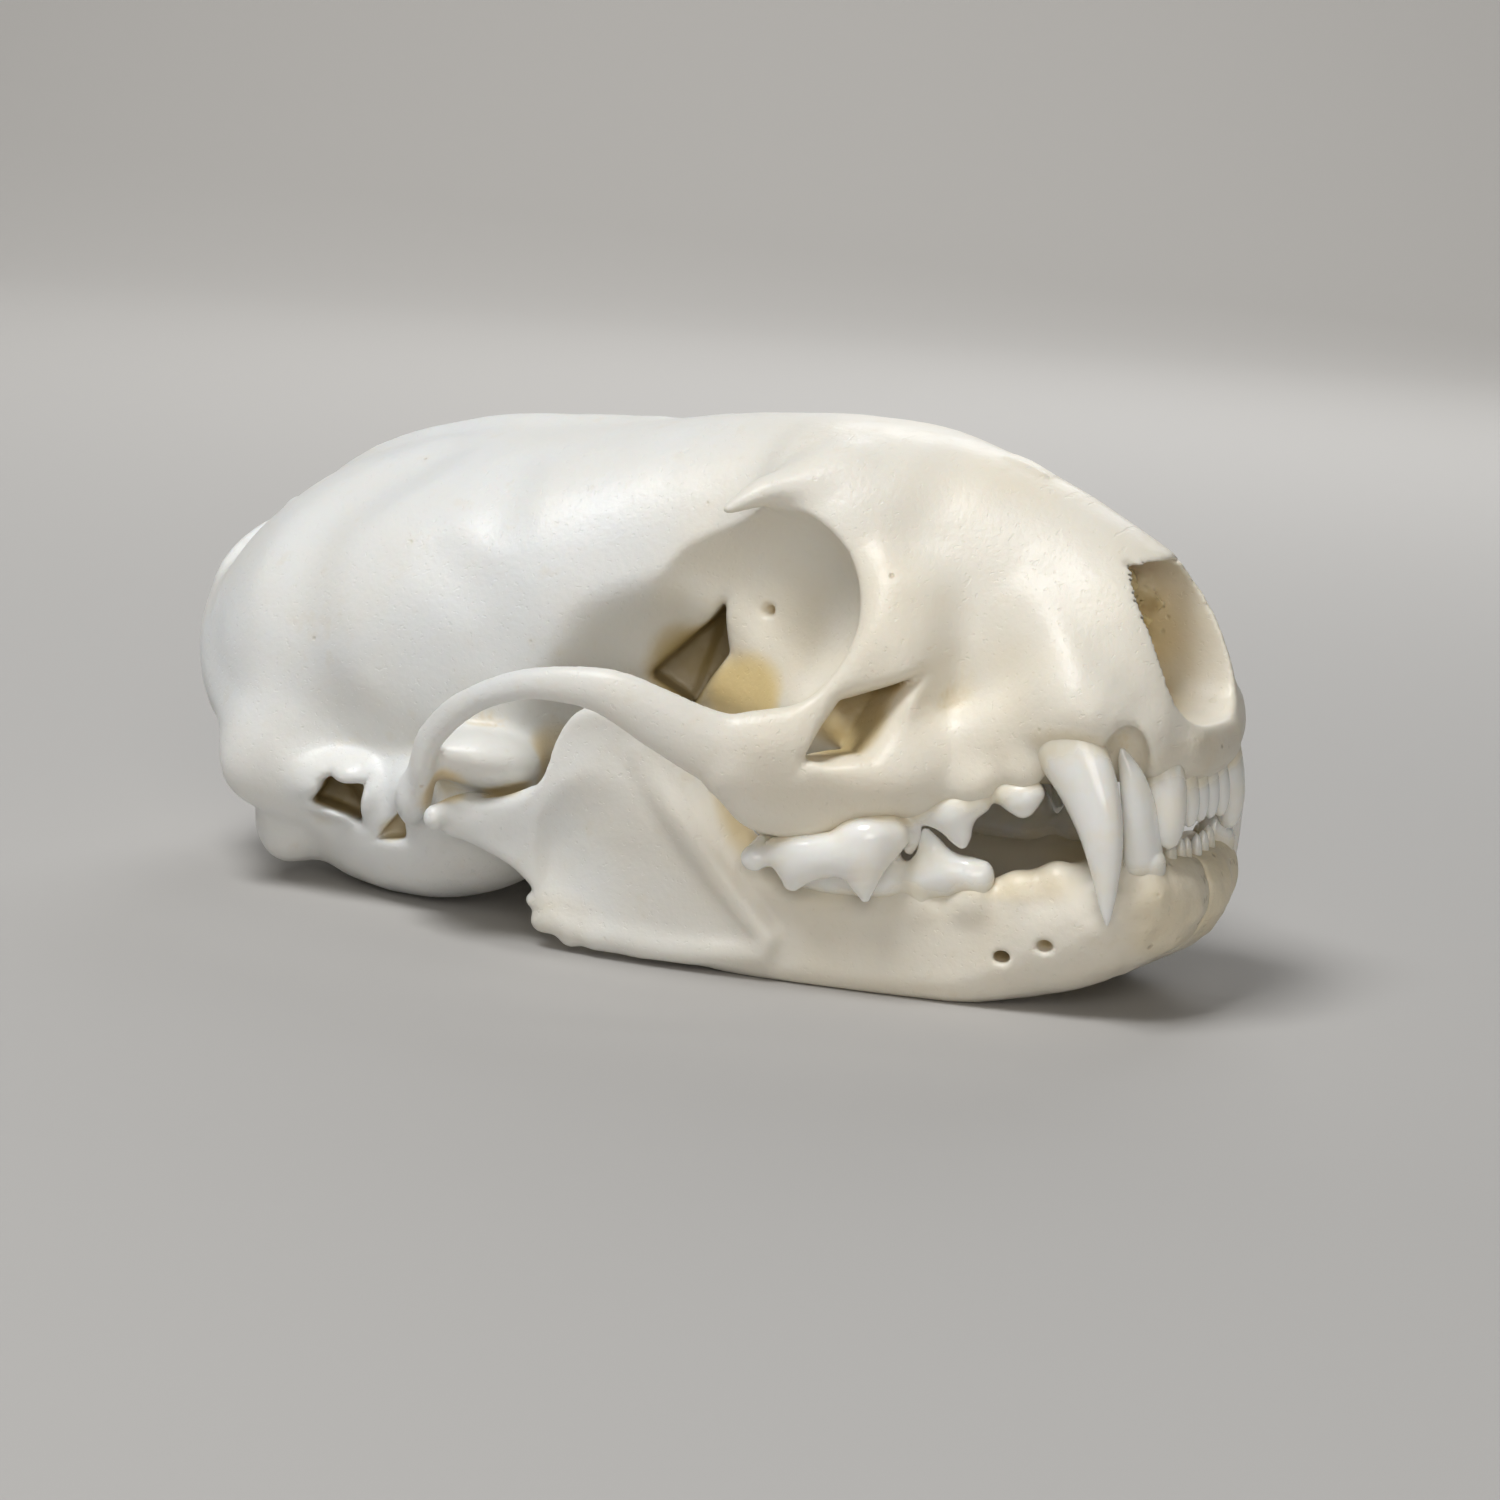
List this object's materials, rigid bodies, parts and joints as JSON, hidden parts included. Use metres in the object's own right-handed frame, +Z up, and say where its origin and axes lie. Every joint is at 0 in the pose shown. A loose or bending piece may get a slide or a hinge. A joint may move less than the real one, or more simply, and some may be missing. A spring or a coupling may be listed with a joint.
{
  "type": "weasel skull",
  "caption": "Life-size weasel skull with its lower jaw shut: long smooth braincase, slim cheek arches, round ear capsules and sharp teeth.",
  "frame": {"origin": "centre of the box round the skull, on the floor that it rests on", "axes": "+Z up, the nose points to -Y, the nape to +Y, and the skull's own right side is -X"},
  "size_m": [0.0262, 0.0414, 0.0193],
  "materials": {
    "bone": "cleaned ivory white bone with a soft sheen",
    "tooth": "smooth white enamel"
  },
  "bodies": {
    "root": {"braincase": "bone", "face": "bone", "zygomatic_arch_right": "bone", "zygomatic_arch_left": "bone", "bulla_right": "bone", "bulla_left": "bone", "mandible_right": "bone", "mandible_left": "bone"}
  },
  "joints": []
}
